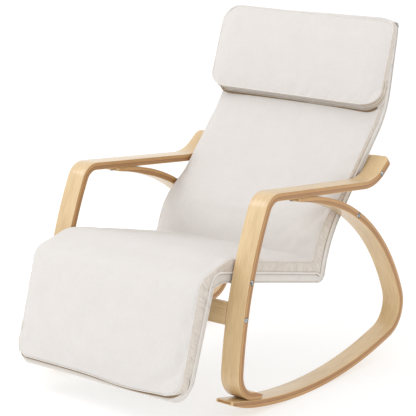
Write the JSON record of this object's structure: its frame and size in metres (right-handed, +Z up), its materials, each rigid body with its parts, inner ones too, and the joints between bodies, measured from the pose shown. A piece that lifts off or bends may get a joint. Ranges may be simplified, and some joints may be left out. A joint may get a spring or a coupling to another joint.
{
  "type": "bentwood rocking armchair",
  "caption": "Bentwood rocking armchair with sprung bent-strip side frames, a padded seat and back, a head pillow and a padded footrest hinged under the knees.",
  "frame": {"origin": "on the floor under the middle of the chair, at the centre of its bounding box", "axes": "+X towards the sitter's left, +Y towards the back of the chair, +Z up; the chair faces -Y"},
  "size_m": [0.66, 0.9345, 0.9164],
  "materials": {
    "bent_birch": "clear satin lacquer on bent birch veneer",
    "inner_frame_wood": "plain sanded wood",
    "cushion_cotton": "off-white woven cotton with piped seams",
    "sleeve_fabric": "off-white woven cotton",
    "zinc_hardware": "zinc plated"
  },
  "bodies": {
    "chair": {"arm_leg_left": "bent_birch", "rocker_left": "bent_birch", "arm_screw_front_left": "zinc_hardware", "arm_screw_rear_left": "zinc_hardware", "foot_screw_left": "zinc_hardware", "arm_leg_right": "bent_birch", "rocker_right": "bent_birch", "arm_screw_front_right": "zinc_hardware", "arm_screw_rear_right": "zinc_hardware", "foot_screw_right": "zinc_hardware", "front_stretcher": "bent_birch", "upper_back_rail": "bent_birch", "seat_front_rail": "inner_frame_wood", "lower_back_rail": "inner_frame_wood", "seat_back_rail_left": "inner_frame_wood", "seat_back_rail_right": "inner_frame_wood", "seat_middle_slat": "inner_frame_wood", "seat_rear_slat": "inner_frame_wood", "back_middle_slat": "inner_frame_wood", "back_upper_slat": "inner_frame_wood", "headrest_slat": "inner_frame_wood", "hinge_seat_leaf_left": "zinc_hardware", "hinge_rivet_left": "zinc_hardware", "hinge_seat_leaf_right": "zinc_hardware", "hinge_rivet_right": "zinc_hardware", "bolt_seat_front_left": "zinc_hardware", "bolt_lower_back_left": "zinc_hardware", "bolt_stretcher_left": "zinc_hardware", "bolt_arm_end_left": "zinc_hardware", "nut_seat_front_left": "zinc_hardware", "nut_lower_back_left": "zinc_hardware", "nut_stretcher_left": "zinc_hardware", "nut_arm_end_left": "zinc_hardware", "bolt_seat_front_right": "zinc_hardware", "bolt_lower_back_right": "zinc_hardware", "bolt_stretcher_right": "zinc_hardware", "bolt_arm_end_right": "zinc_hardware", "nut_seat_front_right": "zinc_hardware", "nut_lower_back_right": "zinc_hardware", "nut_stretcher_right": "zinc_hardware", "nut_arm_end_right": "zinc_hardware", "seat_back_sleeve": "sleeve_fabric", "seat_cushion": "cushion_cotton", "back_cushion": "cushion_cotton", "head_pillow": "cushion_cotton", "head_pillow_flap": "cushion_cotton", "zip_pull": "zinc_hardware"},
    "footrest": {"footrest_rail_left": "inner_frame_wood", "footrest_rail_right": "inner_frame_wood", "footrest_upper_slat": "inner_frame_wood", "footrest_middle_slat": "inner_frame_wood", "footrest_lower_slat": "inner_frame_wood", "hinge_footrest_leaf_left": "zinc_hardware", "hinge_footrest_leaf_right": "zinc_hardware", "footrest_sleeve": "sleeve_fabric", "footrest_cushion": "cushion_cotton"}
  },
  "joints": [
    {"name": "footrest_hinge", "type": "hinge", "parent": "chair", "child": "footrest", "pos_m": [0, -0.331, 0.346], "axis": [-1, 0, 0], "range_deg": [-15, 70]}
  ]
}
